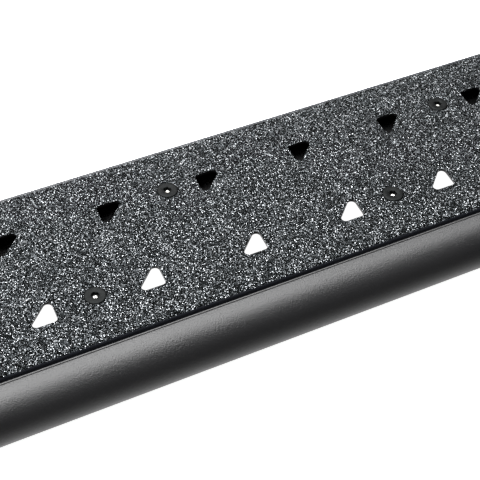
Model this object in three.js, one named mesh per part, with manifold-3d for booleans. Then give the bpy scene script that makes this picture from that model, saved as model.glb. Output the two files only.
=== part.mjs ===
// A powder-coated truck running board: a grit-coated tread plate screwed down onto a round-nosed
// front rail, a rear rail and the cross ribs between them, with moulded end caps and three steel
// brackets that slide in T-slots under the rails and bolt to the vehicle's sill.
// Millimetres. X runs along the board, +Y points to the vehicle and +Z up.
import * as THREE from "three";
import { mergeVertices } from "three/addons/utils/BufferGeometryUtils.js";
import Module from "manifold-3d";

const wasm = await Module();
wasm.setup();
const { Manifold } = wasm;

// ---- Driving dimensions. Section heights are below the tread's top face, z = 0, and section
// ---- distances are from the line through the front row of drain holes, y = 0.
const boardLength = 1900;
const gap = 0.3; // clearance between pieces that touch

const plateThickness = 3;
const plateFrontY = -38;
const plateRearY = 120.5;
const plateInnerBend = 0.5;
const frontFlangeDepth = 10;
const rearFlangeDepth = 25;

const holePitch = 80;
const holeEndMargin = 85; // least distance from a row's end hole to the rails' end
const holeBase = 22.7; // side of the triangle that lies along the board
const holeHeight = 23.7;
const holeApexOffset = 12.9; // the apex stands this far along the board from the base's middle
const holeCornerRadius = 3.3;
const rearRowY = 75.4;
const rowShift = -5; // the front row's middle, from the board's middle
const rearRowShift = 6.3; // the rear row starts this far past the front row

const screwEvery = 3; // hole pitches from one screw to the next
const screwEndMargin = 45;
const screwHeadRadius = 8; // M8 countersunk
const screwShankRadius = 4;
const screwLength = 19;
const screwSocket = 5; // hexagon across flats
const screwSocketDepth = 2.6;
const frontScrew = { fromHole: -38.1, fromRow: 2.5 }; // first screw from its row's first hole
const rearScrew = { fromHole: 44.1, fromRow: 1.8 };
const bossRadius = 7;
const bossDepth = 10;

const railWall = 2.5;
const railBottom = -45;
const noseRadius = -railBottom / 2; // the nose is a half round over the rail's whole height
const noseLipY = -42.3; // the nose's edge across the groove from the tread
const noseCentreY = -46.2;
const lipRadius = 0.5;
const grooveDepth = 13;
const frontRailRearY = -14;
const rearRailFrontY = 54;
const rearRailWebZ = -22;

const slotWidth = 9; // T-slot under each rail, for M8 bolts
const slotLip = 3;
const slotChamberWidth = 15.7;
const slotChamberTop = -27.5;
const windowX = 38; // opening in the rear rail's top under each rear hole
const windowAhead = 17.9;
const windowBehind = 15.6;
const portWeb = 1.8; // the nose chamber's rear wall is thicker by this, for the screw port

const ribWidth = 25;
const ribHeight = 22;

const capThickness = 6;
const capCorner = 4;
const spigotLength = 18;
const noseSpigot = { ahead: 13, behind: 3, halfHeight: 11.5 }; // from the nose's centre
const rearSpigot = { inset: 4, width: 26, clearance: 1 };
const portRadius = 4.7; // screw port in each rail's end
const capScrewRadius = 2;
const capScrewHead = 4.75;
const capScrewHeadHeight = 2.6;
const capScrewLength = 20;
const frontPort = { y: -38.5, z: -31 };
const rearPort = { y: 59.5, z: -33 };

const bracketPositions = { left: -700, centre: -40, right: 700 };
const bracketWidth = 60;
const bracketSteel = 4;
const bracketFrontY = -38;
const bracketRearY = 155;
const bracketFrontDepth = 8;
const bracketDepth = 20;
const sillPlateTop = 50;
const sillSlot = { width: 11, height: 24, spacing: 32, z: 22 };

const boltRadius = 4; // M8 T-bolt
const boltHead = { x: 18, y: 14, z: 4 };
const boltEnd = 16; // below the underside of the rails
const nutFlangeRadius = 8.5;
const nutFlange = 1.6;
const nutAcross = 13;
const nutHeight = 7.5;

// ---- Values that follow from them
const railTop = -plateThickness - gap;
const railEndX = boardLength / 2 - capThickness - gap;
const ledgeY = plateFrontY + plateThickness + gap; // the nose rail's ledge, behind the fold
const frontSlotY = (frontRailRearY + ledgeY) / 2;
const rearSlotY = plateRearY - plateThickness - gap - railWall - slotChamberWidth / 2;
const webTop = railBottom - gap;
const webBottom = webTop - bracketSteel;
const lowest = webTop - bracketDepth;
const originY = (noseCentreY - noseRadius + bracketRearY) / 2;
const holesPerRow = 1 + Math.floor((2 * (railEndX - holeEndMargin)) / holePitch);
const firstHole = rowShift - ((holesPerRow - 1) * holePitch) / 2;

const finish = (color, roughness, metalness) =>
  new THREE.MeshStandardMaterial({ color, roughness, metalness });
const gritCoat = finish(0x3a3d42, 0.85, 0);
const satinBlack = finish(0x1c1d1f, 0.45, 0.1);
const innerBlack = finish(0x17181a, 0.6, 0.1);
const blackOxide = finish(0x26272a, 0.4, 0.8);
const mouldedBlack = finish(0x1a1a1b, 0.6, 0);
const zincSteel = finish(0x8f9296, 0.35, 0.9);

// ---- Solids
function solid(geometry) {
  const bare = geometry.clone();
  bare.deleteAttribute("normal");
  bare.deleteAttribute("uv");
  const merged = mergeVertices(bare, 1e-4);
  return new Manifold(
    new wasm.Mesh({
      numProp: 3,
      vertProperties: merged.attributes.position.array,
      triVerts: new Uint32Array(merged.index.array),
    }),
  );
}

function piece(name, made, material, place = [0, 0, 0]) {
  const { vertProperties, triVerts } = made.getMesh();
  const geometry = new THREE.BufferGeometry();
  geometry.setAttribute("position", new THREE.BufferAttribute(vertProperties, 3));
  geometry.setIndex(new THREE.BufferAttribute(triVerts, 1));
  geometry.computeVertexNormals();
  const mesh = new THREE.Mesh(geometry, material);
  mesh.name = name;
  mesh.position.set(...place);
  return mesh;
}

const each = (count, make) => Array.from({ length: count }, (_, i) => make(i));
const outline = (points) => new THREE.Shape(points.map(([u, v]) => new THREE.Vector2(u, v)));

// A (y, z) outline drawn out along X.
function alongX(points, from, to) {
  const turn = new THREE.Matrix4().makeBasis(
    new THREE.Vector3(0, 1, 0),
    new THREE.Vector3(0, 0, 1),
    new THREE.Vector3(1, 0, 0),
  );
  const made = new THREE.ExtrudeGeometry(outline(points), { depth: to - from, bevelEnabled: false });
  return solid(made.applyMatrix4(turn).translate(from, 0, 0));
}

// An (x, y) outline drawn out along Z.
function alongZ(points, from, to) {
  const made = new THREE.ExtrudeGeometry(outline(points), { depth: to - from, bevelEnabled: false });
  return solid(made.translate(0, 0, from));
}

function box([x0, x1], [y0, y1], [z0, z1]) {
  const made = new THREE.BoxGeometry(x1 - x0, y1 - y0, z1 - z0);
  return solid(made.translate((x0 + x1) / 2, (y0 + y1) / 2, (z0 + z1) / 2));
}

// A turned piece about Z, from [radius, z] points that start and end on the axis.
function turned(points, sides) {
  const profile = points.map(([r, z]) => new THREE.Vector2(r, z));
  return solid(new THREE.LatheGeometry(profile, sides).rotateX(Math.PI / 2));
}

const rod = (radius, from, to, sides) =>
  turned([[0, from], [radius, from], [radius, to], [0, to]], sides);

const hexagon = (across) =>
  Array.from({ length: 6 }, (_, i) => {
    const angle = (i * Math.PI) / 3;
    const radius = across / Math.sqrt(3);
    return [radius * Math.cos(angle), radius * Math.sin(angle)];
  });

// Points of an arc, angles in degrees.
function arc(centre, radius, from, to, steps) {
  return Array.from({ length: steps + 1 }, (_, i) => {
    const angle = THREE.MathUtils.degToRad(from + ((to - from) * i) / steps);
    return [centre[0] + radius * Math.cos(angle), centre[1] + radius * Math.sin(angle)];
  });
}

const cut = (body, tools) => Manifold.difference([body, ...tools]);
const join = (bodies) => Manifold.union(bodies);

// ---- Where the holes and screws are
const frontHoleX = (i) => firstHole + i * holePitch;
const rearHoleX = (i) => frontHoleX(i) + rearRowShift;

// The [x, y] of each tread screw in a row, from the row's first hole to the board's end.
function screwPlaces({ fromHole, fromRow }, holeX, rowY) {
  const first = holeX(0) + fromHole;
  const step = screwEvery * holePitch;
  const count = 1 + Math.floor((railEndX - screwEndMargin - first) / step);
  return each(count, (i) => [first + i * step, rowY + fromRow]);
}
const frontScrews = screwPlaces(frontScrew, frontHoleX, 0);
const rearScrews = screwPlaces(rearScrew, rearHoleX, rearRowY);

// A drain hole: a triangle with round corners, its base towards the nose, about the point in the
// middle of its base's length and a third of the way up.
function drainHole() {
  const corners = [
    [-holeBase / 2, -holeHeight / 3],
    [holeBase / 2, -holeHeight / 3],
    [holeApexOffset, (2 * holeHeight) / 3],
  ].map(([x, y]) => new THREE.Vector2(x, y));
  const cornerSteps = 3;
  return corners.flatMap((corner, i) => {
    const back = corners[(i + 2) % 3].clone().sub(corner).normalize();
    const on = corners[(i + 1) % 3].clone().sub(corner).normalize();
    const half = Math.acos(back.dot(on)) / 2;
    const middle = back.clone().add(on).normalize();
    const centre = corner.clone().addScaledVector(middle, holeCornerRadius / Math.sin(half));
    const first = corner.clone().addScaledVector(back, holeCornerRadius / Math.tan(half)).sub(centre);
    const last = corner.clone().addScaledVector(on, holeCornerRadius / Math.tan(half)).sub(centre);
    const from = THREE.MathUtils.radToDeg(first.angle());
    const sweep = THREE.MathUtils.euclideanModulo(
      THREE.MathUtils.radToDeg(last.angle()) - from, 360);
    return arc([centre.x, centre.y], holeCornerRadius, from, from + sweep, cornerSteps);
  });
}

// The countersunk tread screw's outside, grown all round for the hole it goes in.
function screwForm(grow) {
  const sides = 16;
  const seat = screwHeadRadius - screwShankRadius;
  return turned([
    [0, -screwLength - grow],
    [screwShankRadius + grow, -screwLength - grow],
    [screwShankRadius + grow, -seat],
    [screwHeadRadius + grow, 0],
    [screwHeadRadius + grow, grow],
    [0, grow],
  ], sides);
}

function treadScrew() {
  const socket = alongZ(hexagon(screwSocket), -screwSocketDepth, 1);
  return cut(screwForm(0), [socket]);
}

const screwHoles = (places) => places.map(([x, y]) => screwForm(gap).translate([x, y, 0]));

// ---- Tread plate: sheet folded down at its front and rear edges
function treadPlate() {
  const inner = plateInnerBend;
  const outer = inner + plateThickness;
  const bend = 3;
  const front = [plateFrontY + outer, -outer];
  const rear = [plateRearY - outer, -outer];
  const section = [
    [plateFrontY, -frontFlangeDepth],
    ...arc(front, outer, 180, 90, bend),
    ...arc(rear, outer, 90, 0, bend),
    [plateRearY, -rearFlangeDepth],
    [plateRearY - plateThickness, -rearFlangeDepth],
    ...arc(rear, inner, 0, 90, 1),
    ...arc(front, inner, 90, 180, 1),
    [plateFrontY + plateThickness, -frontFlangeDepth],
  ];
  const sheet = alongX(section.reverse(), -railEndX, railEndX);
  const hole = alongZ(drainHole(), -plateThickness - 1, 1);
  const holes = each(holesPerRow, (i) => [
    hole.translate([frontHoleX(i), 0, 0]),
    hole.rotate([0, 0, 180]).translate([rearHoleX(i), rearRowY, 0]),
  ]).flat();
  return cut(sheet, [...holes, ...screwHoles([...frontScrews, ...rearScrews])]);
}

// The threaded collar under a rail's or rib's top wall, before its hole is cut.
const screwBoss = () => rod(bossRadius, railTop - railWall - bossDepth, railTop - 1, 16);

// ---- Rails: a T-slot open below, whose chamber holds the bracket bolts' heads
function slotCuts(y) {
  const half = slotChamberWidth / 2;
  const ends = [-railEndX - 1, railEndX + 1];
  return [
    box(ends, [y - half, y + half], [railBottom + slotLip, slotChamberTop]),
    box(ends, [y - slotWidth / 2, y + slotWidth / 2], [railBottom - 1, railBottom + slotLip + 1]),
  ];
}

function screwPort({ y, z }, radius, past) {
  const ring = arc([y, z], radius, 0, 360 - 30, 11);
  return alongX(ring, -railEndX - past, railEndX + past);
}

function noseRail() {
  const centre = [noseCentreY, -noseRadius];
  const lip = [noseLipY - lipRadius, -lipRadius];
  const section = [
    ...arc(lip, lipRadius, 0, 90, 3),
    ...arc(centre, noseRadius, 90, 270, 20),
    [frontRailRearY, railBottom],
    [frontRailRearY, railTop],
    [ledgeY, railTop],
    [ledgeY, -grooveDepth],
    [noseLipY, -grooveDepth],
  ];
  const chamberRear = ledgeY - portWeb;
  const nose = [
    ...arc(centre, noseRadius - railWall, 90, 270, 16),
    [chamberRear, railBottom + railWall],
    [chamberRear, -grooveDepth - railWall],
    [noseLipY - railWall, -grooveDepth - railWall],
    [noseLipY - railWall, -railWall],
  ];
  const ends = [-railEndX - 1, railEndX + 1];
  const upper = box(
    ends,
    [ledgeY + railWall, frontRailRearY - railWall],
    [slotChamberTop + railWall, railTop - railWall],
  );
  const hollow = cut(alongX(section, -railEndX, railEndX), [
    alongX(nose, ...ends), upper, ...slotCuts(frontSlotY),
  ]);
  return cut(join([hollow, screwPort(frontPort, portRadius, 0)]), [
    screwPort(frontPort, capScrewRadius + gap, 1),
  ]);
}

function rearRail() {
  const rearY = plateRearY - plateThickness - gap;
  const ends = [-railEndX - 1, railEndX + 1];
  const inside = [rearRailFrontY + railWall, rearY - railWall];
  const slotWall = rearSlotY - slotChamberWidth / 2 - railWall;
  const bar = box([-railEndX, railEndX], [rearRailFrontY, rearY], [railBottom, railTop]);
  const upper = box(ends, inside, [rearRailWebZ, railTop - railWall]);
  const lower = box(ends, [inside[0], slotWall], [railBottom + railWall, rearRailWebZ - railWall]);
  const windows = each(holesPerRow, (i) => box(
    [rearHoleX(i) - windowX / 2, rearHoleX(i) + windowX / 2],
    [rearRowY - windowAhead, rearRowY + windowBehind],
    [railTop - railWall - 1, railTop + 1],
  ));
  const hollow = cut(bar, [upper, lower, ...windows, ...slotCuts(rearSlotY)]);
  const bosses = rearScrews.map(([x, y]) => screwBoss().translate([x, y, 0]));
  return cut(join([hollow, ...bosses, screwPort(rearPort, portRadius, 0)]), [
    ...screwHoles(rearScrews), screwPort(rearPort, capScrewRadius + gap, 1),
  ]);
}

// ---- Cross rib: a box tube between the rails with a threaded boss for its tread screw
function crossRib() {
  const [front, rear] = [frontRailRearY + gap, rearRailFrontY - gap];
  const half = ribWidth / 2;
  const bottom = railTop - ribHeight;
  const tube = cut(box([-half, half], [front, rear], [bottom, railTop]), [
    box([railWall - half, half - railWall], [front - 1, rear + 1],
      [bottom + railWall, railTop - railWall]),
  ]);
  const place = [0, frontScrew.fromRow, 0];
  const boss = screwBoss().translate(place);
  return cut(join([tube, boss]), [screwForm(gap).translate(place)]);
}

// ---- End cap: a plate over the whole section, with a spigot into each rail
function endCap(side) {
  const inner = side * (boardLength / 2 - capThickness);
  const outer = (side * boardLength) / 2;
  const spigotEnd = inner - side * spigotLength;
  const span = (a, b) => [Math.min(a, b), Math.max(a, b)];
  const rear = plateRearY - capCorner;
  const section = [
    ...arc([noseCentreY, -noseRadius], noseRadius, 90, 270, 20),
    ...arc([rear, railBottom + capCorner], capCorner, -90, 0, 3),
    ...arc([rear, -capCorner], capCorner, 0, 90, 3),
  ];
  const plate = alongX(section, ...span(inner, outer));
  const nosePlug = box(
    span(spigotEnd, inner + side),
    [noseCentreY - noseSpigot.ahead, noseCentreY - noseSpigot.behind],
    [-noseRadius - noseSpigot.halfHeight, -noseRadius + noseSpigot.halfHeight],
  );
  const rearPlugY = rearRailFrontY + railWall + rearSpigot.inset;
  const rearPlug = box(
    span(spigotEnd, inner + side),
    [rearPlugY, rearPlugY + rearSpigot.width],
    [rearRailWebZ + rearSpigot.clearance, railTop - railWall - rearSpigot.clearance],
  );
  const screwCuts = [frontPort, rearPort].flatMap(({ y, z }) => [
    capHole(capScrewRadius + gap, spigotEnd, outer + side).translate([0, y, z]),
    capHole(capScrewHead + gap, outer - side * (capScrewHeadHeight + 2 * gap), outer + side)
      .translate([0, y, z]),
  ]);
  return cut(join([plate, nosePlug, rearPlug]), screwCuts);
}

function capHole(radius, from, to) {
  const [low, high] = [Math.min(from, to), Math.max(from, to)];
  return alongX(arc([0, 0], radius, 0, 360 - 30, 11), low, high);
}

// Button-head cap screw, its head's top at the origin and its shank down.
function capScrew() {
  const form = turned([
    [0, -capScrewHeadHeight - capScrewLength],
    [capScrewRadius, -capScrewHeadHeight - capScrewLength],
    [capScrewRadius, -capScrewHeadHeight],
    [capScrewHead, -capScrewHeadHeight],
    [capScrewHead * 0.9, -capScrewHeadHeight / 2],
    [capScrewHead * 0.55, 0],
    [0, 0],
  ], 12);
  return cut(form, [alongZ(hexagon(3), -1.6, 1)]);
}

// ---- Sill bracket: a channel under the rails that turns up into a slotted plate
function sillBracket() {
  const half = bracketWidth / 2;
  const plateFront = bracketRearY - bracketSteel;
  const web = box([-half, half], [bracketFrontY, bracketRearY], [webBottom, webTop]);
  const sillPlate = box([-half, half], [plateFront, bracketRearY], [lowest, sillPlateTop]);
  const cheekFoot = plateRearY + 5;
  const cheek = [
    [bracketFrontY, webTop],
    [bracketFrontY, webTop - bracketFrontDepth],
    [rearRailFrontY, lowest],
    [bracketRearY, lowest],
    [bracketRearY, sillSlot.z],
    [plateFront, sillSlot.z],
    [cheekFoot, webTop + 12],
    [cheekFoot, webTop],
  ];
  const slots = [-1, 1].map((side) => slotTool(side * sillSlot.spacing / 2));
  const boltHoles = [frontSlotY, rearSlotY].map((y) =>
    rod(boltRadius + 2 * gap, webBottom - 1, webTop + 1, 12).translate([0, y, 0]));
  return cut(join([
    web,
    sillPlate,
    alongX(cheek, -half, bracketSteel - half),
    alongX(cheek, half - bracketSteel, half),
  ]), [...slots, ...boltHoles]);
}

// An upright slot through the bracket's sill plate.
function slotTool(x) {
  const r = sillSlot.width / 2;
  const reach = sillSlot.height / 2 - r;
  const round = [
    ...arc([x, reach], r, 0, 180, 6),
    ...arc([x, -reach], r, 180, 360, 6),
  ];
  return alongZ(round, -1, bracketSteel + 1)
    .rotate([90, 0, 0])
    .translate([0, bracketRearY, sillSlot.z]);
}

function tBolt() {
  const seat = railBottom + slotLip + gap;
  const head = box(
    [-boltHead.x / 2, boltHead.x / 2], [-boltHead.y / 2, boltHead.y / 2],
    [seat, seat + boltHead.z],
  );
  return join([head, rod(boltRadius, railBottom - boltEnd, seat + 1, 16)]);
}

function flangeNut() {
  const top = webBottom - gap;
  const flange = rod(nutFlangeRadius, top - nutFlange, top, 16);
  const hex = alongZ(hexagon(nutAcross), top - nutHeight, top - nutFlange / 2);
  return cut(join([flange, hex]), [rod(boltRadius + gap, top - nutHeight - 1, top + 1, 16)]);
}

// ---- Assembly, standing on its brackets with the origin under its middle
const runningBoard = new THREE.Group();
const section = new THREE.Group();
section.position.set(0, -originY, -lowest);
runningBoard.add(section);

section.add(piece("tread_plate", treadPlate(), gritCoat));
section.add(piece("nose_rail", noseRail(), satinBlack));
section.add(piece("rear_rail", rearRail(), innerBlack));

frontScrews.forEach(([x, y], i) => {
  section.add(piece(`cross_rib_${i + 1}`, crossRib(), innerBlack, [x, 0, 0]));
  section.add(piece(`front_tread_screw_${i + 1}`, treadScrew(), blackOxide, [x, y, 0]));
});
rearScrews.forEach(([x, y], i) => {
  section.add(piece(`rear_tread_screw_${i + 1}`, treadScrew(), blackOxide, [x, y, 0]));
});

for (const [name, side] of [["left", -1], ["right", 1]]) {
  section.add(piece(`end_cap_${name}`, endCap(side), mouldedBlack));
  for (const [port, at] of [["front", frontPort], ["rear", rearPort]]) {
    const screw = piece(`end_cap_screw_${name}_${port}`, capScrew(), blackOxide);
    screw.rotation.y = (side * Math.PI) / 2;
    screw.position.set(side * (boardLength / 2 - gap), at.y, at.z);
    section.add(screw);
  }
}

for (const [name, x] of Object.entries(bracketPositions)) {
  const mounting = new THREE.Group();
  mounting.position.x = x;
  mounting.add(piece(`sill_bracket_${name}`, sillBracket(), satinBlack));
  for (const [row, y] of [["front", frontSlotY], ["rear", rearSlotY]]) {
    mounting.add(piece(`t_bolt_${name}_${row}`, tBolt(), zincSteel, [0, y, 0]));
    mounting.add(piece(`flange_nut_${name}_${row}`, flangeNut(), zincSteel, [0, y, 0]));
  }
  section.add(mounting);
}

export default runningBoard;
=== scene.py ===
"""A truck running board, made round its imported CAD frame: the coated tread with its pressed drain
holes, the half-round nose, the frame below, the end caps, the sill brackets and their fixings.

Section sizes are in millimetres and are measured as the board's section is drawn: x along the
board from its middle, y towards the vehicle from the front row of drain holes, z up from the
tread's top face. The function at() turns such a place into the frame's metres.
"""

import math
from types import SimpleNamespace

import bmesh
import bpy
from bpy.props import FloatProperty, FloatVectorProperty, IntProperty, PointerProperty
from mathutils import Matrix, Vector, geometry


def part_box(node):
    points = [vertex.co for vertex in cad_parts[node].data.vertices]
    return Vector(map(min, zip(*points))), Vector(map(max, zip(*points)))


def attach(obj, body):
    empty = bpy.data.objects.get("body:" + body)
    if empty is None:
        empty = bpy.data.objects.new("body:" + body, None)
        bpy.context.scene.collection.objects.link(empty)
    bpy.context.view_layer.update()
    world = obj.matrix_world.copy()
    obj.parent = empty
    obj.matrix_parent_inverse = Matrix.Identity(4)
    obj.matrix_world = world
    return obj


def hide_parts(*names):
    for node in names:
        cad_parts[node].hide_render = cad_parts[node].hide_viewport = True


bl_info = {
    "name": "Running board",
    "version": (1, 0, 0),
    "blender": (4, 5, 0),
    "location": "View3D > Sidebar > Running board",
    "description": "Builds a coated truck running board round its CAD frame",
    "category": "Add Mesh",
}

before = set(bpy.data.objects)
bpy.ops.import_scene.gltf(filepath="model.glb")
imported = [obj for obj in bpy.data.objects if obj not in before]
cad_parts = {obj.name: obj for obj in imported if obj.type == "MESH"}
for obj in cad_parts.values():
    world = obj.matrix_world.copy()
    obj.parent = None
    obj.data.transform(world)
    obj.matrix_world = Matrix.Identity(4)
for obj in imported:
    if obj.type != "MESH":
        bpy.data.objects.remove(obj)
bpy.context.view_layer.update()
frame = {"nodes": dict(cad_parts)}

MM = 0.001
TREAD_LOW, TREAD_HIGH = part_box("tread_plate")
TREAD_FRONT = -38.0  # the tread's front edge, from the front row of holes
FLOOR_HALF = 40.0  # half the floor's side, in metres
FLOOR_GAP = 0.6  # from the floor up to the object, so that the two don't flicker
BRACKETS = ("left", "centre", "right")
SIDES = ("left", "right")
SMOOTH = math.radians(35)  # edges that turn further than this stay sharp


def at(x, y, z):
    """A section place, in millimetres, as a point of the frame, in metres."""
    return Vector((x * MM, TREAD_LOW.y + (y - TREAD_FRONT) * MM, TREAD_HIGH.z + z * MM))


def middle(node):
    """The middle of a CAD node's box."""
    low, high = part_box(node)
    return (low + high) / 2


def nodes_named(start):
    """CAD nodes whose names begin so, in order."""
    return sorted(name for name in frame["nodes"] if name.startswith(start))


def linear(colour):
    """A hex sRGB colour as linear red, green, blue and alpha."""
    parts = [int(colour[i : i + 2], 16) / 255 for i in (1, 3, 5)]
    return (*(c / 12.92 if c <= 0.04045 else ((c + 0.055) / 1.055) ** 2.4 for c in parts), 1.0)


# ---- Settings


def a_length(name, description, millimetres):
    """A length that a user may change."""
    return FloatProperty(
        name=name, description=description, default=millimetres * MM, unit="LENGTH", subtype="DISTANCE"
    )


def a_colour(name, description, shade):
    """A colour that a user may change."""
    return FloatVectorProperty(
        name=name, description=description, default=linear(shade)[:3], size=3, subtype="COLOR"
    )


def in_mm(group):
    """A group's lengths in millimetres, and its other values as they are."""
    values = {}
    for name, kind in group.bl_rna.properties.items():
        if name not in ("name", "rna_type"):
            value = getattr(group, name)
            values[name] = value / MM if getattr(kind, "unit", "") == "LENGTH" else value
    return SimpleNamespace(**values)


class TreadSettings(bpy.types.PropertyGroup):
    """The tread plate and its coat."""

    thickness: a_length("Thickness", "Plate thickness", 3.0)
    pitch: a_length("Hole pitch", "From hole to hole in a row", 80.0)
    row_count: IntProperty(name="Holes in a row", description="Drain holes in each row", default=22)
    front_row: a_length("Front row", "Middle of the front row, along the board", -5.0)
    rear_row: a_length("Rear row", "Middle of the rear row, along the board", 1.3)
    row_gap: a_length("Row spacing", "Between the two rows", 75.4)
    base: a_length("Hole base", "Side of a hole along the board", 22.7)
    height: a_length("Hole height", "Height across the board", 23.7)
    lean: a_length("Hole lean", "Apex from the base's middle", 12.9)
    corner: a_length("Hole corner", "Corner radius", 3.3)
    dish: a_length("Dish depth", "How far a hole's rim is pressed in", 0.8)
    last_drop: a_length("Rim roll", "How much further the very edge of a hole falls", 0.12)
    reach: a_length("Dish reach", "Width of the pressed rim", 12.0)
    bend: a_length("Fold radius", "Outside radius of the folds", 3.5)
    front_flange: a_length("Front flange", "Depth of the front fold", 10.0)
    flange_edge: a_length("Flange edge", "Bevel on the flanges' free edges", 0.5)
    grit: a_length("Grit", "Grain of the coat", 0.36)
    tilt: FloatProperty(name="Grain tilt", description="How unevenly the grains lie", default=2.1)
    stray: a_length("Stray", "Raggedness of the coat's edge", 0.4)
    front_stop: a_length("Front stop", "Coat's edge on the front fold", 0.7)
    rear_stop: a_length("Rear stop", "Coat's edge on the rear fold", 4.2)


class NoseSettings(bpy.types.PropertyGroup):
    """The front rail with its half-round nose."""

    radius: a_length("Nose radius", "Half round over the rail", 22.5)
    wall: a_length("Wall", "Wall of the rail", 2.5)
    lip: a_length("Lip radius", "Edge beside the tread", 0.5)
    bead: a_length("Bead", "From the lip to its scribed line", 1.6)
    scribe: a_length("Scribed line", "Depth of the line behind the lip", 0.6)
    lip_place: a_length("Lip", "The nose's edge, from the front row", -42.3)
    groove: a_length("Groove depth", "Between tread and nose", 13.0)
    seat: a_length("Seat", "The ledge under the tread, below its top and behind its edge", 3.3)
    web: a_length("Web", "From the nose's hollow to the front of the ledge", 1.8)
    mouth: a_length("T-slot mouth", "Half of the mouth's width", 4.5)
    chamber: a_length("T-slot chamber", "Half of the chamber's width", 7.85)
    slot_lip: a_length("T-slot lip", "Thickness of the T-slot's lips", 3.0)
    slot_top: a_length("T-slot top", "The chamber's roof, below the tread's top", 27.5)
    core_floor: a_length("Core floor", "The upper hollow's floor, below the tread's top", 25.0)


class FixingSettings(bpy.types.PropertyGroup):
    """Screws, bolts and nuts."""

    head: a_length("Head radius", "Countersunk head", 8.0)
    shank: a_length("Shank radius", "M8 shank", 4.0)
    length: a_length("Length", "Countersunk screw", 19.0)
    socket: a_length("Socket", "Hexagon across flats", 5.0)
    # Below this depth a socket's floor is drawn pale, a painted highlight.
    socket_floor: a_length("Socket floor", "Depth below which a socket is bare metal", 2.45)
    thread: a_length("Thread pitch", "M8 coarse", 1.25)
    threaded: a_length("Threaded length", "From a bolt's tip to its last thread", 9.0)
    bolt_long: a_length("Bolt head length", "T-bolt's head along the slot", 18.0)
    bolt_wide: a_length("Bolt head width", "T-bolt's head across the slot", 14.0)
    bolt_thick: a_length("Bolt head thickness", "T-bolt's head", 4.0)
    nut: a_length("Nut", "Hexagon across flats", 13.0)
    flange: a_length("Nut flange", "Radius of a nut's flange", 8.5)
    seed: IntProperty(name="Turn seed", description="How each screw came to rest", default=7)


class FinishSettings(bpy.types.PropertyGroup):
    """Colours of the coats and mouldings, and a painted shade for the holes' walls."""

    nose: a_colour("Nose", "Satin powder coat of the nose", "#161617")
    frame: a_colour("Frame", "Matt powder coat of the rear rail and ribs", "#19191a")
    bracket: a_colour("Brackets", "Powder coat of the brackets", "#171718")
    nylon: a_colour("End caps", "Nylon of the end caps", "#1b1b1c")
    fold: a_colour("Folds", "Binder where the tread's folds have no grit", "#1a1c21")
    # The holes' walls take the folds' binder drawn near black: a painted shade for the shaded holes.
    wall: a_colour("Hole walls", "Binder in the holes", "#050506")


# ---- Outlines and meshes


def arc(centre, radius, start, end, steps):
    """Points of an arc, from one angle to another in radians."""
    return [
        (
            centre[0] + radius * math.cos(start + (end - start) * i / steps),
            centre[1] + radius * math.sin(start + (end - start) * i / steps),
        )
        for i in range(steps + 1)
    ]


def rounded(corners, fine=math.radians(7)):
    """An outline from (u, v, radius) corners, each rounded by its own radius."""
    outline = []
    for i, (u, v, radius) in enumerate(corners):
        corner = Vector((u, v))
        if radius <= 0:
            outline.append((u, v))
            continue
        back = (Vector(corners[i - 1][:2]) - corner).normalized()
        ahead = (Vector(corners[(i + 1) % len(corners)][:2]) - corner).normalized()
        half = back.angle(ahead) / 2
        centre = corner + (back + ahead).normalized() * (radius / math.sin(half))
        first = corner + back * (radius / math.tan(half)) - centre
        last = corner + ahead * (radius / math.tan(half)) - centre
        start = math.atan2(first.y, first.x)
        sweep = (math.atan2(last.y, last.x) - start + math.pi) % math.tau - math.pi
        steps = max(2, math.ceil(abs(sweep) / fine))
        for point in arc(centre, radius, start, start + sweep, steps):
            if not outline or (Vector(point) - Vector(outline[-1])).length > 1e-4:
                outline.append(point)
    if (Vector(outline[0]) - Vector(outline[-1])).length < 1e-4:
        outline.pop()
    return outline


def inside(point, loop):
    """Whether a point lies inside a closed outline."""
    odd = False
    for (u0, v0), (u1, v1) in zip(loop, loop[1:] + loop[:1]):
        if (v0 > point[1]) != (v1 > point[1]):
            odd ^= point[0] < u0 + (point[1] - v0) * (u1 - u0) / (v1 - v0)
    return odd


def triangles(loops, keep):
    """The triangles between closed outlines that keep() accepts, as indices of their points in turn."""
    points = [Vector(p) for loop in loops for p in loop]
    edges, first = [], 0
    for loop in loops:
        edges += [(first + i, first + (i + 1) % len(loop)) for i in range(len(loop))]
        first += len(loop)
    _, _, faces, origins, _, _ = geometry.delaunay_2d_cdt(points, edges, [], 0, 1e-7, True)
    found = []
    for face in faces:
        corners = [origins[i][0] for i in face]
        centre = sum((points[i] for i in corners), Vector((0, 0))) / 3
        if keep(corners, centre):
            found.append(corners)
    return found


def new_piece(name, bm, material, smooth=SMOOTH):
    """A mesh object from a bmesh, smooth but for its edges, with its material."""
    mesh = bpy.data.meshes.new(name)
    bm.to_mesh(mesh)
    bm.free()
    mesh.shade_smooth()
    mesh.set_sharp_from_angle(angle=smooth)
    mesh.materials.append(material)
    made = bpy.data.objects.new(name, mesh)
    bpy.context.scene.collection.objects.link(made)
    return made


def prism(loops, low, high, place):
    """A bar between two ends of a section: an outer outline and those of its hollows."""
    bm = bmesh.new()
    ends = [[[bm.verts.new(place(end, u, v)) for u, v in loop] for loop in loops] for end in (low, high)]
    for near, far in zip(*ends):
        for i in range(len(near)):
            j = (i + 1) % len(near)
            bm.faces.new((near[i], near[j], far[j], far[i]))
    flat = [[v for loop in end for v in loop] for end in ends]
    wanted = triangles(
        loops,
        lambda _, c: inside(c, loops[0]) and not any(inside(c, hollow) for hollow in loops[1:]),
    )
    for corners in wanted:
        for end in flat:
            bm.faces.new([end[i] for i in corners])
    bmesh.ops.recalc_face_normals(bm, faces=bm.faces)
    return bm


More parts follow.
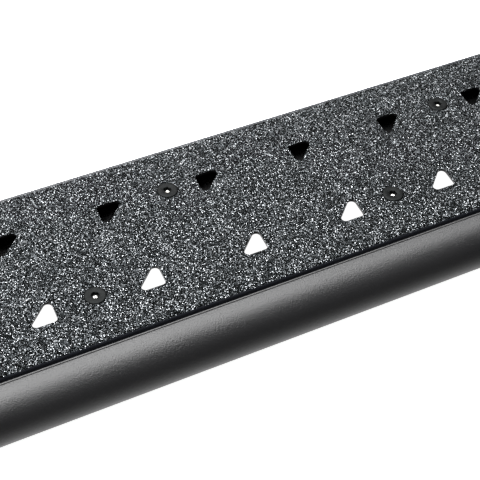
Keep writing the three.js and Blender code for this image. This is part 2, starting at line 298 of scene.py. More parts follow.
def turned(profile, sides):
    """A closed turned piece about Z from (radius, z) pairs in millimetres. A radius may be a function
    of the angle, as a hexagon's is."""
    bm = bmesh.new()
    rings = []
    for radius, z in profile:
        ring = []
        for i in range(sides):
            angle = math.tau * i / sides
            r = radius(angle) if callable(radius) else radius
            ring.append(bm.verts.new((r * math.cos(angle) * MM, r * math.sin(angle) * MM, z * MM)))
        rings.append(ring)
    for lower, upper in zip(rings, rings[1:]):
        for i in range(sides):
            j = (i + 1) % sides
            bm.faces.new((lower[i], lower[j], upper[j], upper[i]))
    for ring, (_, z) in ((rings[0], profile[0]), (rings[-1], profile[-1])):
        centre = bm.verts.new((0, 0, z * MM))
        for i in range(sides):
            bm.faces.new((ring[i], ring[(i + 1) % sides], centre))
    bmesh.ops.recalc_face_normals(bm, faces=bm.faces)
    return bm


def hexagon(across):
    """The radius of a hexagon at an angle."""
    return lambda angle: across / 2 / math.cos((angle + math.pi / 6) % (math.pi / 3) - math.pi / 6)


def from_frame(node, name, material, bevel, segments):
    """A copy of a CAD node, its flats made whole and its edges rounded, which stands for it."""
    bm = bmesh.new()
    bm.from_mesh(frame["nodes"][node].data)
    bmesh.ops.remove_doubles(bm, verts=bm.verts, dist=1e-5)
    bmesh.ops.dissolve_limit(bm, angle_limit=math.radians(1), verts=bm.verts, edges=bm.edges)
    made = new_piece(name, bm, material, math.pi)
    rounding = made.modifiers.new("Edges", "BEVEL")
    rounding.width = bevel * MM
    rounding.segments = segments
    rounding.limit_method = "ANGLE"
    rounding.angle_limit = math.radians(50)
    rounding.use_clamp_overlap = False
    rounding.miter_outer = "MITER_ARC"
    made.modifiers.new("Flat faces", "WEIGHTED_NORMAL")
    return as_mesh(made, material)


def as_mesh(made, material):
    """Turns an object and its modifiers into a plain mesh of its own."""
    depsgraph = bpy.context.evaluated_depsgraph_get()
    mesh = bpy.data.meshes.new_from_object(made.evaluated_get(depsgraph), depsgraph=depsgraph)
    made.modifiers.clear()
    mesh.name = made.name
    mesh.materials.clear()
    mesh.materials.append(material)
    made.data = mesh
    return made


def fit(piece, body, slot, *nodes):
    """Rides a finished piece on its body, in place of the CAD nodes that it stands for."""
    if not piece.data.polygons:
        raise RuntimeError(piece.name + " has no faces")
    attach(piece, body)
    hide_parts(*nodes)


# ---- Materials


def add(tree, kind, inputs=None, **settings):
    """A node with its settings, its inputs either values or the sockets they come from."""
    made = tree.nodes.new(kind)
    for name, value in settings.items():
        setattr(made, name, value)
    for key, value in (inputs or {}).items():
        if isinstance(value, bpy.types.NodeSocket):
            tree.links.new(value, made.inputs[key])
        else:
            made.inputs[key].default_value = value
    return made


def new_material(name):
    """An empty material with its shader, its tree and its object coordinates."""
    material = bpy.data.materials.new(name)
    material.use_nodes = True
    tree = material.node_tree
    tree.nodes.clear()
    shader = add(tree, "ShaderNodeBsdfPrincipled")
    add(tree, "ShaderNodeOutputMaterial", {"Surface": shader.outputs["BSDF"]})
    place = add(tree, "ShaderNodeTexCoord").outputs["Object"]
    return material, tree, shader, place


def ramp(tree, factor, *stops):
    """A colour ramp through (position, hex colour) stops."""
    made = add(tree, "ShaderNodeValToRGB", {"Fac": factor})
    elements = made.color_ramp.elements
    while len(elements) < len(stops):
        elements.new(0.5)
    for element, (position, colour) in zip(elements, stops):
        element.position = position
        element.color = linear(colour)
    return made.outputs["Color"]


def grit_coat(settings, finish):
    """Sprayed anti-slip coat: crushed silicon carbide in black polyurethane, on the flat of the tread
    and the start of its folds. Each grain lies its own way, so some catch the light and most stay
    dark; the rest of the folds are bare binder, smooth and black, and the holes' walls are that binder
    with a painted shade, near black. A grain is a little over a third of a millimetre across, and the
    coat's edge strays every two millimetres."""
    material, tree, shader, place = new_material("Anti-slip grit coat")
    grain = add(tree, "ShaderNodeTexVoronoi", {"Vector": place, "Scale": 1 / (settings.grit * MM)})
    chance = add(tree, "ShaderNodeSeparateColor", {"Color": grain.outputs["Color"]})

    # The coat stops, a little raggedly, on the folds, and leaves out the holes' walls.
    ragged = add(tree, "ShaderNodeTexNoise", {"Vector": place, "Scale": 1 / (2 * MM), "Detail": 1.0})
    stray = add(
        tree, "ShaderNodeMapRange",
        {"Value": ragged.outputs["Fac"], "To Min": -settings.stray * MM, "To Max": settings.stray * MM},
    )
    spot = add(tree, "ShaderNodeSeparateXYZ", {"Vector": place})
    shifted = add(tree, "ShaderNodeMath", {0: spot.outputs["Y"], 1: stray.outputs["Result"]}, operation="ADD")
    behind = add(
        tree, "ShaderNodeMath",
        {0: shifted.outputs[0], 1: TREAD_LOW.y + settings.front_stop * MM}, operation="GREATER_THAN",
    )
    before = add(
        tree, "ShaderNodeMath",
        {0: shifted.outputs[0], 1: TREAD_HIGH.y - settings.rear_stop * MM}, operation="LESS_THAN",
    )
    flat = add(tree, "ShaderNodeMath", {0: behind.outputs[0], 1: before.outputs[0]}, operation="MULTIPLY")
    upright = add(tree, "ShaderNodeNewGeometry")
    rise = add(tree, "ShaderNodeSeparateXYZ", {"Vector": upright.outputs["True Normal"]})
    settles = 0.55  # how far up a face has to look for grit to stay on it
    level = add(tree, "ShaderNodeMath", {0: rise.outputs["Z"], 1: settles}, operation="GREATER_THAN")
    coated = add(tree, "ShaderNodeMath", {0: flat.outputs[0], 1: level.outputs[0]}, operation="MULTIPLY")

    flecks = ramp(
        tree, chance.outputs["Red"],
        (0.0, "#040505"), (0.5, "#0a0b0b"), (0.7, "#141617"), (0.72, "#1c1f20"), (0.86, "#333638"),
        (0.95, "#6c7073"), (1.0, "#c8cbce"),
    )
    # On the folds this is the binder's own colour; on the holes' walls it is a near-black painted shade.
    with_painted_light = add(
        tree, "ShaderNodeMix",
        {"Factor": flat.outputs[0], "A": (*finish.fold, 1.0), "B": (*finish.wall, 1.0)}, data_type="RGBA",
    )
    colour = add(
        tree, "ShaderNodeMix",
        {"Factor": coated.outputs[0], "A": with_painted_light.outputs["Result"], "B": flecks}, data_type="RGBA",
    )
    # About three grains in ten are bright flats, and the rest are dull.
    mirror = ramp(tree, chance.outputs["Red"], (0.7, "#000000"), (0.72, "#ffffff"))
    aside = add(
        tree, "ShaderNodeCombineXYZ", {"X": chance.outputs["Green"], "Y": chance.outputs["Blue"], "Z": 0.5}
    )
    tilt = add(
        tree, "ShaderNodeVectorMath", {0: aside.outputs["Vector"], 1: (0.5, 0.5, 0.5)}, operation="SUBTRACT"
    )
    lean = add(tree, "ShaderNodeMath", {0: coated.outputs[0], 1: settings.tilt}, operation="MULTIPLY")
    leaning = add(
        tree, "ShaderNodeVectorMath",
        {0: tilt.outputs["Vector"], "Scale": lean.outputs[0]}, operation="SCALE",
    )
    # Wet coat runs back from the folds, so that its grains there lie nearly as level as on the flat.
    settled = add(tree, "ShaderNodeCombineXYZ", {"Z": coated.outputs[0]})
    lying = add(
        tree, "ShaderNodeVectorMath",
        {0: leaning.outputs["Vector"], 1: settled.outputs["Vector"]}, operation="ADD",
    )
    facing = add(
        tree, "ShaderNodeVectorMath",
        {0: upright.outputs["Normal"], 1: lying.outputs["Vector"]}, operation="ADD",
    )
    facet = add(tree, "ShaderNodeVectorMath", {0: facing.outputs["Vector"]}, operation="NORMALIZE")
    dull = add(tree, "ShaderNodeMapRange", {"Value": mirror, "To Min": 0.85, "To Max": 0.28})
    binder = 0.38  # roughness of the binder where it has no grit
    rough = add(tree, "ShaderNodeMix", {0: coated.outputs[0], 2: binder, 3: dull.outputs["Result"]})
    tree.links.new(colour.outputs["Result"], shader.inputs["Base Color"])
    tree.links.new(coated.outputs[0], shader.inputs["Metallic"])
    tree.links.new(rough.outputs[0], shader.inputs["Roughness"])
    tree.links.new(facet.outputs["Vector"], shader.inputs["Normal"])
    return material


def powder_coat(name, shade, roughness, peel):
    """Polyester powder coat baked on metal: an even satin skin with a fine orange peel, a little under
    a millimetre from crest to crest, that breaks up the edges of its reflections. Handling leaves it
    slightly duller in places a few centimetres across."""
    material, tree, shader, place = new_material(name)
    crests = add(tree, "ShaderNodeTexNoise", {"Vector": place, "Scale": 1.2 / MM, "Detail": 1.0})
    dust = add(tree, "ShaderNodeTexNoise", {"Vector": place, "Scale": 1 / (40 * MM), "Detail": 4.0})
    even = add(
        tree, "ShaderNodeMapRange",
        {"Value": dust.outputs["Fac"], "To Min": roughness - 0.03, "To Max": roughness + 0.04},
    )
    relief = add(
        tree, "ShaderNodeBump",
        {"Strength": peel, "Distance": 0.3 * MM, "Height": crests.outputs["Fac"]},
    )
    shader.inputs["Base Color"].default_value = (*shade, 1.0)
    tree.links.new(even.outputs["Result"], shader.inputs["Roughness"])
    tree.links.new(relief.outputs["Normal"], shader.inputs["Normal"])
    return material


def plated_steel(name, dark, pale, roughness, painted_highlight_below=None):
    """Steel hardware with a thin chemical or zinc finish: metal, a little mottled, and duller where
    it has been handled. The mottle is about 3 mm across, drawn coarser than the finish's own so that
    it shows. Below a height the steel is drawn pale: a painted highlight, the bright spot at the
    bottom of a screw's socket."""
    material, tree, shader, place = new_material(name)
    mottle = add(tree, "ShaderNodeTexNoise", {"Vector": place, "Scale": 0.35 / MM, "Detail": 4.0})
    colour = ramp(tree, mottle.outputs["Fac"], (0.3, dark), (0.7, pale))
    # Below the given height the colour is pale: a painted highlight at the bottom of a screw's socket.
    if painted_highlight_below is not None:
        spot = add(tree, "ShaderNodeSeparateXYZ", {"Vector": place})
        with_painted_light = add(tree, "ShaderNodeMath", {0: spot.outputs["Z"], 1: painted_highlight_below}, operation="LESS_THAN")
        colour = add(
            tree, "ShaderNodeMix",
            {"Factor": with_painted_light.outputs[0], "A": colour, "B": linear("#d4d2cc")}, data_type="RGBA",
        ).outputs["Result"]
    worn = add(
        tree, "ShaderNodeMapRange",
        {"Value": mottle.outputs["Fac"], "To Min": roughness - 0.08, "To Max": roughness + 0.1},
    )
    tree.links.new(colour, shader.inputs["Base Color"])
    tree.links.new(worn.outputs["Result"], shader.inputs["Roughness"])
    shader.inputs["Metallic"].default_value = 1.0
    return material


def moulded_nylon(shade):
    """Injection-moulded black nylon with a spark-eroded texture: fine pits that take the shine off,
    drawn about 0.4 mm across so that they show."""
    material, tree, shader, place = new_material("Moulded nylon")
    pits = add(tree, "ShaderNodeTexVoronoi", {"Vector": place, "Scale": 1 / (0.4 * MM)})
    relief = add(
        tree, "ShaderNodeBump",
        {"Strength": 0.35, "Distance": 0.06 * MM, "Height": pits.outputs["Distance"]},
    )
    tree.links.new(relief.outputs["Normal"], shader.inputs["Normal"])
    shader.inputs["Base Color"].default_value = (*shade, 1.0)
    shader.inputs["Roughness"].default_value = 0.55
    return material


def light_table():
    """White acrylic over lamps: an even, pale glow."""
    material, _, shader, _ = new_material("Light table")
    shader.inputs["Base Color"].default_value = linear("#ffffff")
    shader.inputs["Roughness"].default_value = 0.9
    shader.inputs["Emission Color"].default_value = linear("#ffffff")
    shader.inputs["Emission Strength"].default_value = 1.0
    return material


def studio(name):
    """Light round the object: the table glows from below, pale paper hangs behind, and the room in
    front is dark."""
    world = bpy.data.worlds.new(name)
    world.use_nodes = True
    tree = world.node_tree
    tree.nodes.clear()
    way = add(tree, "ShaderNodeTexCoord")
    part = add(tree, "ShaderNodeSeparateXYZ", {"Vector": way.outputs["Generated"]})
    height = add(
        tree, "ShaderNodeMapRange", {"Value": part.outputs["Z"], "From Min": -1.0, "From Max": 1.0}
    )
    room = ramp(
        tree, height.outputs["Result"],
        (0.0, "#e6e6e6"), (0.08, "#d0d0d0"), (0.25, "#707070"), (0.42, "#303030"), (1.0, "#404040"),
    )
    paper = ramp(
        tree, height.outputs["Result"],
        (0.0, "#ffffff"), (0.4, "#e8e8e8"), (0.6, "#d0d0d0"), (0.75, "#404040"),
    )
    side = add(tree, "ShaderNodeMapRange", {"Value": part.outputs["Y"], "From Min": 0.2, "From Max": 0.7})
    mixed = add(
        tree, "ShaderNodeMix", {"Factor": side.outputs["Result"], "A": room, "B": paper}, data_type="RGBA"
    )
    glow = mixed.outputs["Result"]
    background = add(tree, "ShaderNodeBackground", {"Color": glow, "Strength": 2.0})
    add(tree, "ShaderNodeOutputWorld", {"Surface": background.outputs["Background"]})
    return world


# ---- Geometry Nodes: copies of one fixing, set at points


def copies_tree():
    """Sets a copy of a piece on each point, turned about Z by chance, as real meshes."""
    tree = bpy.data.node_groups.new("Set fixings", "GeometryNodeTree")
    face = tree.interface
    face.new_socket("Geometry", in_out="INPUT", socket_type="NodeSocketGeometry")
    face.new_socket("Fixing", in_out="INPUT", socket_type="NodeSocketObject")
    face.new_socket("Most turn", in_out="INPUT", socket_type="NodeSocketFloat")
    face.new_socket("Seed", in_out="INPUT", socket_type="NodeSocketInt")
    face.new_socket("Material", in_out="INPUT", socket_type="NodeSocketMaterial")
    face.new_socket("Geometry", in_out="OUTPUT", socket_type="NodeSocketGeometry")
    given = add(tree, "NodeGroupInput").outputs
    fixing = add(tree, "GeometryNodeObjectInfo", {"Object": given["Fixing"]}, transform_space="ORIGINAL")
    turn = add(
        tree, "FunctionNodeRandomValue",
        {"Max": given["Most turn"], "Seed": given["Seed"]}, data_type="FLOAT",
    )
    spin = add(tree, "ShaderNodeCombineXYZ", {"Z": turn.outputs[1]})
    copies = add(
        tree, "GeometryNodeInstanceOnPoints",
        {
            "Points": given["Geometry"],
            "Instance": fixing.outputs["Geometry"],
            "Rotation": spin.outputs["Vector"],
        },
    )
    real = add(tree, "GeometryNodeRealizeInstances", {"Geometry": copies.outputs["Instances"]})
    finished = add(
        tree, "GeometryNodeSetMaterial",
        {"Geometry": real.outputs["Geometry"], "Material": given["Material"]},
    )
    add(tree, "NodeGroupOutput", {"Geometry": finished.outputs["Geometry"]})
    return tree


def set_copies(name, bm, places, material, turn=0.0, seed=0):
    """One mesh of a fixing's copies, one at each place."""
    fixing = new_piece(name + "_pattern", bm, material)
    points = bpy.data.meshes.new(name)
    points.from_pydata([tuple(p) for p in places], [], [])
    made = bpy.data.objects.new(name, points)
    bpy.context.scene.collection.objects.link(made)
    tree = bpy.data.node_groups.get("Set fixings") or copies_tree()
    maker = made.modifiers.new("Set fixings", "NODES")
    maker.node_group = tree
    given = {"Fixing": fixing, "Most turn": turn, "Seed": seed, "Material": material}
    for item in tree.interface.items_tree:
        if item.in_out == "INPUT" and item.name in given:
            maker[item.identifier] = given[item.name]
    as_mesh(made, material)
    bpy.data.objects.remove(fixing)
    return made


# ---- Pieces


class BOARD_OT_tread(bpy.types.Operator):
    """Folded plate with its two rows of pressed drain holes and its countersinks"""

    bl_idname = "board.tread"
    bl_label = "Tread plate"

    def drain_hole(self, s, grow):
        """A hole's outline grown by a distance: a triangle with round corners, base to the nose."""
        corners = (
            (-s.base / 2, -s.height / 3, s.corner),
            (s.base / 2, -s.height / 3, s.corner),
            (s.lean, 2 * s.height / 3, s.corner),
        )
        outline = rounded(corners, math.radians(15))
        if not grow:
            return outline
        grown = []
        for i, point in enumerate(outline):
            along = Vector(outline[(i + 1) % len(outline)]) - Vector(outline[i - 1])
            away = Vector((along.y, -along.x)).normalized()
            grown.append(tuple(Vector(point) + away * grow))
        return grown

    def execute(self, context):
        s = in_mm(context.scene.board_tread)
        f = in_mm(context.scene.board_fixings)
        half = (TREAD_HIGH.x - TREAD_LOW.x) / 2 / MM
        front, rear = TREAD_FRONT + s.bend, (TREAD_HIGH.y - TREAD_LOW.y) / MM + TREAD_FRONT - s.bend
        edge_steps = 40
        along = [-half + 2 * half * i / edge_steps for i in range(edge_steps + 1)]
        loops = [[(x, front) for x in along] + [(x, rear) for x in reversed(along)]]
        tops, bottoms, rims = [0.0] * len(loops[0]), list(loops[0]), []

        def set_ring(outline, centre, turn, height, below=None):
            """One ring round a hole: its place on top, its height and its place on the underside."""
            def moved(points):
                return [(centre[0] + turn * u, centre[1] + turn * v) for u, v in points]
            loops.append(moved(outline))
            tops.extend([height] * len(outline))
            bottoms.extend(moved(below or outline))

        # Each hole's rim is dished: it falls away from the flat, steepest halfway, and rolls in at
        # the very edge. These are the distances of its rings of points from that edge.
        rings = [0.0, 0.35, 0.9, 2.0, 3.6, 5.6, 8.2, s.reach]
        outlines = [self.drain_hole(s, grow) for grow in rings]
        for start, y, turn in ((s.front_row, 0.0, 1), (s.rear_row, s.row_gap, -1)):
            for i in range(s.row_count):
                x = start + (i - (s.row_count - 1) / 2) * s.pitch
                rims.append((len(tops), len(outlines[0])))
                for grow, outline in zip(rings, outlines):
                    level = 1 - grow / s.reach
                    drop = s.dish * level * level * (3 - 2 * level) + (s.last_drop if grow == 0 else 0.0)
                    set_ring(outline, (x, y), turn, -drop)

        # Each countersink is a little wider than its screw's head, and its edge is rolled.
        seat = f.head + 0.3
        circle = arc((0, 0), 1.0, 0, math.tau, 40)[:-1]

        def ring_of(radius):
            return [(radius * u, radius * v) for u, v in circle]

        for node in nodes_named("front_tread_screw") + nodes_named("rear_tread_screw"):
            place = middle(node)
            centre = (place.x / MM, (place.y - TREAD_LOW.y) / MM + TREAD_FRONT)
            rims.append((len(tops), len(circle)))
            for radius, height in ((seat, -0.8), (seat + 0.7, -0.12), (seat + 1.0, 0.0), (seat + 2.5, 0.0)):
                set_ring(ring_of(radius), centre, 1, height, ring_of(radius - s.thickness))

        rim_of = {}
        for first, count in rims:
            rim_of.update({i: first for i in range(first, first + count)})
        surface = triangles(loops, lambda c, _: len({rim_of.get(i, -1 - i) for i in c}) > 1)
        bm = bmesh.new()
        plan = [p for loop in loops for p in loop]
        upper = [bm.verts.new(at(x, y, z)) for (x, y), z in zip(plan, tops)]
        lower = [bm.verts.new(at(x, y, -s.thickness)) for x, y in bottoms]
        for corners in surface:
            bm.faces.new([upper[i] for i in corners])
            bm.faces.new([lower[i] for i in reversed(corners)])
        for first, count in rims:
            for i in range(count):
                a, b = first + i, first + (i + 1) % count
                bm.faces.new((upper[a], lower[a], lower[b], upper[b]))

        # The folds: from the top edge round and down the flange, and back up inside.
        inner = s.bend - s.thickness
        fold_steps = 8
        rear_depth = (TREAD_LOW.z - TREAD_HIGH.z) / MM
        count = len(along)
        ends = []
        for edge, side, depth, columns in (
            (front, -1, -s.front_flange, range(count)),
            (rear, 1, rear_depth, range(2 * count - 1, count - 1, -1)),
        ):
            outside = [
                (edge + side * s.bend * math.sin(t), -s.bend + s.bend * math.cos(t))
                for t in (math.pi / 2 * k / fold_steps for k in range(1, fold_steps + 1))
            ]
            bevel = s.flange_edge
            foot = [(edge + side * s.bend, depth + bevel), (edge + side * (s.bend - bevel), depth)]
            back = [(edge + side * (inner + bevel), depth), (edge + side * inner, depth + bevel)]
            inside_arc = [
                (edge + side * inner * math.sin(t), -s.bend + inner * math.cos(t))
                for t in (math.pi / 2, math.pi / 4)
            ]
            path = outside + foot + back + inside_arc
            strips = []
            for column in columns:
                x = plan[column][0]
                strip = [upper[column]] + [bm.verts.new(at(x, y, z)) for y, z in path] + [lower[column]]
                strips.append(strip)
            for near, far in zip(strips, strips[1:]):
                for k in range(len(near) - 1):
                    bm.faces.new((near[k], near[k + 1], far[k + 1], far[k]))
            ends.append((strips[0], strips[-1]))
        for a, b in zip(*ends):
            bm.faces.new(a + list(reversed(b)))
        bmesh.ops.recalc_face_normals(bm, faces=bm.faces)
        finish = context.scene.board_finishes
        plate = new_piece("tread", bm, grit_coat(s, finish))
        fit(plate, "board", "grit_coat", "tread_plate")
        return {"FINISHED"}


class BOARD_OT_nose(bpy.types.Operator):
    """Front rail: the half-round nose, the ledge under the tread and the T-slot below"""

    bl_idname = "board.nose"
    bl_label = "Nose rail"

    def execute(self, context):
        s = in_mm(context.scene.board_nose)
        low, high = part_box("nose_rail")
        bottom = -2 * s.radius
        front = (low.y - TREAD_LOW.y) / MM + TREAD_FRONT
        rear = (high.y - TREAD_LOW.y) / MM + TREAD_FRONT
        ledge = TREAD_FRONT + s.seat
        slot = (rear + ledge) / 2
        line = s.lip_place - s.bead
        outer = rounded([
            (s.lip_place, 0, s.lip),
            (line + 0.45, 0, 0.15),
            (line, -s.scribe, 0.1),
            (line - 0.55, 0, 0.2),
            (front, 0, s.radius),
            (front, bottom, s.radius),
            (slot - s.mouth, bottom, 0.5),
            (slot - s.mouth, bottom + s.slot_lip, 0.4),
            (slot - s.chamber, bottom + s.slot_lip, 0.4),
            (slot - s.chamber, -s.slot_top, 0.4),
            (slot + s.chamber, -s.slot_top, 0.4),
            (slot + s.chamber, bottom + s.slot_lip, 0.4),
            (slot + s.mouth, bottom + s.slot_lip, 0.4),
            (slot + s.mouth, bottom, 0.5),
            (rear, bottom, 1.0),
            (rear, -s.seat, 1.0),
            (ledge, -s.seat, 0.5),
            (ledge, -s.groove, 0.8),
            (s.lip_place, -s.groove, 0.8),
        ], math.radians(3.5))
        nose_hollow = rounded([
            (s.lip_place - s.wall, -s.wall, 0.3),
            (front + s.wall, -s.wall, s.radius - s.wall),
            (front + s.wall, bottom + s.wall, s.radius - s.wall),
            (ledge - s.web, bottom + s.wall, 0.5),
            (ledge - s.web, -s.groove - s.wall, 0.5),
            (s.lip_place - s.wall, -s.groove - s.wall, 0.5),
        ])
        core = rounded([
            (ledge + s.wall, -s.seat - s.wall, 0.5),
            (ledge + s.wall, -s.core_floor, 0.5),
            (rear - s.wall, -s.core_floor, 0.5),
            (rear - s.wall, -s.seat - s.wall, 0.5),
        ])
        bm = prism([outer, nose_hollow, core], low.x / MM, high.x / MM, at)
        shade = context.scene.board_finishes.nose
        coat = powder_coat("Satin powder coat", shade, roughness=0.42, peel=0.9)
        rail = new_piece("nose", bm, coat)
        fit(rail, "board", "satin_black", "nose_rail")
        return {"FINISHED"}


class BOARD_OT_frame(bpy.types.Operator):
    """Rear rail and cross ribs"""

    bl_idname = "board.frame"
    bl_label = "Frame under the tread"

    def execute(self, context):
        shade = context.scene.board_finishes.frame
        coat = powder_coat("Matt powder coat", shade, roughness=0.6, peel=0.2)
        rail = from_frame("rear_rail", "rear_bar", coat, bevel=0.25, segments=2)
        fit(rail, "board", "frame_black", "rear_rail")
        for node in nodes_named("cross_rib"):
            rib = from_frame(node, node.replace("cross_rib", "rib"), coat, bevel=0.6, segments=2)
            fit(rib, "board", "frame_black", node)
        return {"FINISHED"}


class BOARD_OT_screws(bpy.types.Operator):
    """Countersunk hexagon-socket screws that hold the tread"""

    bl_idname = "board.screws"
    bl_label = "Tread screws"

    def screw(self, s):
        """One M8 countersunk screw, its head's top at the origin."""
        seat = s.head - s.shank
        socket = hexagon(s.socket)
        rim = s.socket / math.sqrt(3) + 0.15
        return turned([
            (s.shank - 0.8, -s.length),
            (s.shank, -s.length + 0.8),
            (s.shank, -seat - 0.3),
            (s.shank + 0.4, -seat + 0.2),
            # The cone ends in a short rim, and the top is slightly crowned.
            (s.head - 0.05, -1.0),
            (s.head, -0.8),
            (s.head - 0.15, -0.5),
            (s.head - 0.5, -0.25),
            (s.head - 1.1, -0.1),
            (s.head - 1.8, -0.05),
            # The socket has a drilled bottom.
            (rim + 0.1, -0.05),
            (rim, -0.1),
            (socket, -0.5),
            (socket, -2.3),
            (1.7, -2.4),
            (0.3, -2.6),
        ], 48)

    def execute(self, context):
        s = in_mm(context.scene.board_fixings)
        nodes = nodes_named("front_tread_screw") + nodes_named("rear_tread_screw")
        places = [Vector((middle(n).x, middle(n).y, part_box(n)[1].z)) for n in nodes]
        # The pale patch at each socket's bottom is a painted highlight.
        floor = at(0, 0, -s.socket_floor).z
        oxide = plated_steel("Black oxide steel", "#101111", "#191a1a", roughness=0.45, painted_highlight_below=floor)
        made = set_copies("tread_screws", self.screw(s), places, oxide, math.pi / 3, s.seed)
        fit(made, "board", "screw_black", *nodes)
        return {"FINISHED"}


class BOARD_OT_caps(bpy.types.Operator):
    """Moulded end caps and their screws"""

    bl_idname = "board.caps"
    bl_label = "End caps"

    def execute(self, context):
        nylon = moulded_nylon(context.scene.board_finishes.nylon)
        oxide = plated_steel("Black oxide cap screws", "#1a1a1c", "#242426", roughness=0.45)
        for side in SIDES:
            cap = from_frame("end_cap_" + side, "cap_" + side, nylon, bevel=1.0, segments=4)
            fit(cap, "board", "moulded_black", "end_cap_" + side)
            for end in ("front", "rear"):
                node = f"end_cap_screw_{side}_{end}"
                screw = from_frame(node, f"cap_screw_{side}_{end}", oxide, bevel=0.2, segments=2)
                fit(screw, "board", "screw_black", node)
        return {"FINISHED"}


class BOARD_OT_brackets(bpy.types.Operator):
    """Pressed steel sill brackets"""

    bl_idname = "board.brackets"
    bl_label = "Sill brackets"

    def execute(self, context):
        shade = context.scene.board_finishes.bracket
        coat = powder_coat("Bracket powder coat", shade, roughness=0.5, peel=0.2)
        for name in BRACKETS:
            node = "sill_bracket_" + name
            made = from_frame(node, "bracket_" + name, coat, bevel=1.2, segments=3)
            fit(made, "bracket_" + name, "bracket_black", node)
        return {"FINISHED"}


class BOARD_OT_bolts(bpy.types.Operator):
    """T-bolts and flange nuts that clamp each bracket to the rails"""

    bl_idname = "board.bolts"
    bl_label = "Bracket bolts"

    def bolt(self, s, span):
        """A T-bolt about Z, its tip at the origin: the rolled thread, the shank and the oblong head."""
        sides, per_turn = 24, 8
        depth = 0.6 * s.thread
        low, high = 1.0, s.threaded
        rows = round((high - low) / s.thread * per_turn)
        bm = bmesh.new()

        def ring(z, radius):
            """Points round the bolt, whose radius may follow the turn."""
            made = []
            for i in range(sides):
                angle = math.tau * i / sides
                r = radius(i / sides) if callable(radius) else radius
                made.append(bm.verts.new((r * math.cos(angle) * MM, r * math.sin(angle) * MM, z * MM)))
            return made

        def threaded(z):
            """Points round the thread, whose crest climbs with the turn."""
            return ring(
                z, lambda turn: s.shank - depth * (1 - abs(2 * ((z / s.thread - turn) % 1) - 1))
            )

        rings = [threaded(low + (high - low) * k / rows) for k in range(rows + 1)]
        plain = [ring(high + 0.6, s.shank), ring(span - s.bolt_thick + 1.0, s.shank)]
        tip = ring(0.0, s.shank - 0.9)
        stack = [tip] + rings + plain
        for lower, upper in zip(stack, stack[1:]):
            for i in range(sides):
                j = (i + 1) % sides
                bm.faces.new((lower[i], lower[j], upper[j], upper[i]))
        bm.faces.new(reversed(tip))
        bm.faces.new(plain[-1])
        along, across = s.bolt_long / 2, s.bolt_wide / 2
        head = rounded([
            (-along, -across, 1.5), (along, -across, 1.5), (along, across, 1.5), (-along, across, 1.5)
        ])
        body = prism([head], span - s.bolt_thick, span, lambda z, x, y: Vector((x, y, z)) * MM)
        scratch = bpy.data.meshes.new("head")
        body.to_mesh(scratch)
        body.free()
        bm.from_mesh(scratch)
        bpy.data.meshes.remove(scratch)
        bmesh.ops.recalc_face_normals(bm, faces=bm.faces)
        return bm

    def nut(self, s, height):
        """A flange nut about Z, its flange's face at the origin."""
        flats = hexagon(s.nut)
        bore = s.shank + 0.35
        return turned([
            (bore, -height + 0.4),
            (bore + 0.55, -height),
            (s.nut / 2 - 0.4, -height),
            (flats, -height + 0.5),
            (flats, -2.4),
            (s.nut / 2 + 0.5, -1.9),
            (s.flange - 0.3, -1.5),
            (s.flange, -1.1),
            (s.flange, -0.3),
            (s.flange - 0.2, 0.0),
            (bore + 0.55, 0.0),
            (bore, -0.4),
        ], 48)

    def execute(self, context):
        s = in_mm(context.scene.board_fixings)
        zinc = plated_steel("Bright zinc plate", "#8d9094", "#b9bcc0", roughness=0.32)
        for name in BRACKETS:
            bolts = [f"t_bolt_{name}_{row}" for row in ("front", "rear")]
            nuts = [f"flange_nut_{name}_{row}" for row in ("front", "rear")]
            ends = [Vector((middle(b).x, middle(b).y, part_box(b)[0].z)) for b in bolts]
            span = (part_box(bolts[0])[1].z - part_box(bolts[0])[0].z) / MM
            made = set_copies("bolts_" + name, self.bolt(s, span), ends, zinc)
            fit(made, "bracket_" + name, "zinc_steel", *bolts)
            tops = [Vector((middle(n).x, middle(n).y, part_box(n)[1].z)) for n in nuts]
            height = (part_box(nuts[0])[1].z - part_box(nuts[0])[0].z) / MM
            made = set_copies("nuts_" + name, self.nut(s, height), tops, zinc, math.pi / 3, s.seed)
            fit(made, "bracket_" + name, "zinc_steel", *nuts)
        return {"FINISHED"}


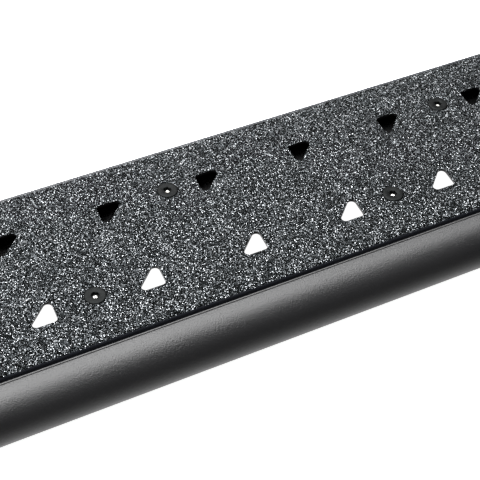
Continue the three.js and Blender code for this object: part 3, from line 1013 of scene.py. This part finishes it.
class BOARD_OT_stage(bpy.types.Operator):
    """Pale floor, the room's light, a soft box and the camera"""

    bl_idname = "board.stage"
    bl_label = "Stage"

    def lamp(self, name, place, aim, size, power):
        """A white soft box, aimed at a point."""
        data = bpy.data.lights.new(name, "AREA")
        data.shape = "RECTANGLE"
        data.size, data.size_y = size
        data.energy = power
        made = bpy.data.objects.new(name, data)
        made.location = place
        made.rotation_euler = (Vector(aim) - Vector(place)).to_track_quat("-Z", "Y").to_euler()
        bpy.context.scene.collection.objects.link(made)

    def execute(self, context):
        scene = context.scene
        bm = bmesh.new()
        bmesh.ops.create_grid(bm, x_segments=1, y_segments=1, size=FLOOR_HALF)
        bmesh.ops.translate(bm, verts=bm.verts, vec=(0, 0, -FLOOR_GAP * MM))
        floor = new_piece("floor", bm, light_table())
        floor.visible_diffuse = False
        floor.visible_glossy = False
        floor.visible_shadow = False

        self.lamp("top_box", place=(-0.18, 0.42, 1.9), aim=(0.0, 0.0, 0.0), size=(3.5, 2.55), power=278)
        scene.world = studio("Studio")
        scene.view_settings.view_transform = "Standard"

        data = bpy.data.cameras.new("camera")
        data.sensor_width = 36
        data.lens = 95.25
        camera = bpy.data.objects.new("camera", data)
        scene.collection.objects.link(camera)
        azimuth, elevation, roll = math.radians(28.57), math.radians(45.64), math.radians(2.51)
        aim, distance = at(190.7, 7.2, 0), 0.9122
        ahead = Vector((
            math.sin(azimuth) * math.cos(elevation),
            math.cos(azimuth) * math.cos(elevation),
            -math.sin(elevation),
        ))
        across = Vector((math.cos(azimuth), -math.sin(azimuth), 0))
        across = Matrix.Rotation(-roll, 3, ahead) @ across
        up = across.cross(ahead)
        turn = Matrix((across, up, -ahead)).transposed()
        camera.matrix_world = Matrix.Translation(aim - ahead * distance) @ turn.to_4x4()
        data.clip_start = 0.01
        scene.camera = camera
        return {"FINISHED"}


class BOARD_PT_panel(bpy.types.Panel):
    """Lists the running board's pieces"""

    bl_label = "Running board"
    bl_idname = "BOARD_PT_panel"
    bl_space_type = "VIEW_3D"
    bl_region_type = "UI"
    bl_category = "Running board"

    def draw(self, context):
        for operator in OPERATORS:
            self.layout.operator(operator.bl_idname)


OPERATORS = (
    BOARD_OT_stage,
    BOARD_OT_tread,
    BOARD_OT_nose,
    BOARD_OT_frame,
    BOARD_OT_screws,
    BOARD_OT_caps,
    BOARD_OT_brackets,
    BOARD_OT_bolts,
)
SETTINGS = {
    "board_tread": TreadSettings,
    "board_nose": NoseSettings,
    "board_fixings": FixingSettings,
    "board_finishes": FinishSettings,
}


def register():
    for group in (*SETTINGS.values(), *OPERATORS, BOARD_PT_panel):
        bpy.utils.register_class(group)
    for name, group in SETTINGS.items():
        setattr(bpy.types.Scene, name, PointerProperty(type=group))


def unregister():
    for name in SETTINGS:
        delattr(bpy.types.Scene, name)
    for group in reversed((*SETTINGS.values(), *OPERATORS, BOARD_PT_panel)):
        bpy.utils.unregister_class(group)


def main():
    register()
    for operator in OPERATORS:
        family, name = operator.bl_idname.split(".")
        getattr(getattr(bpy.ops, family), name)()


if __name__ == "__main__":
    main()
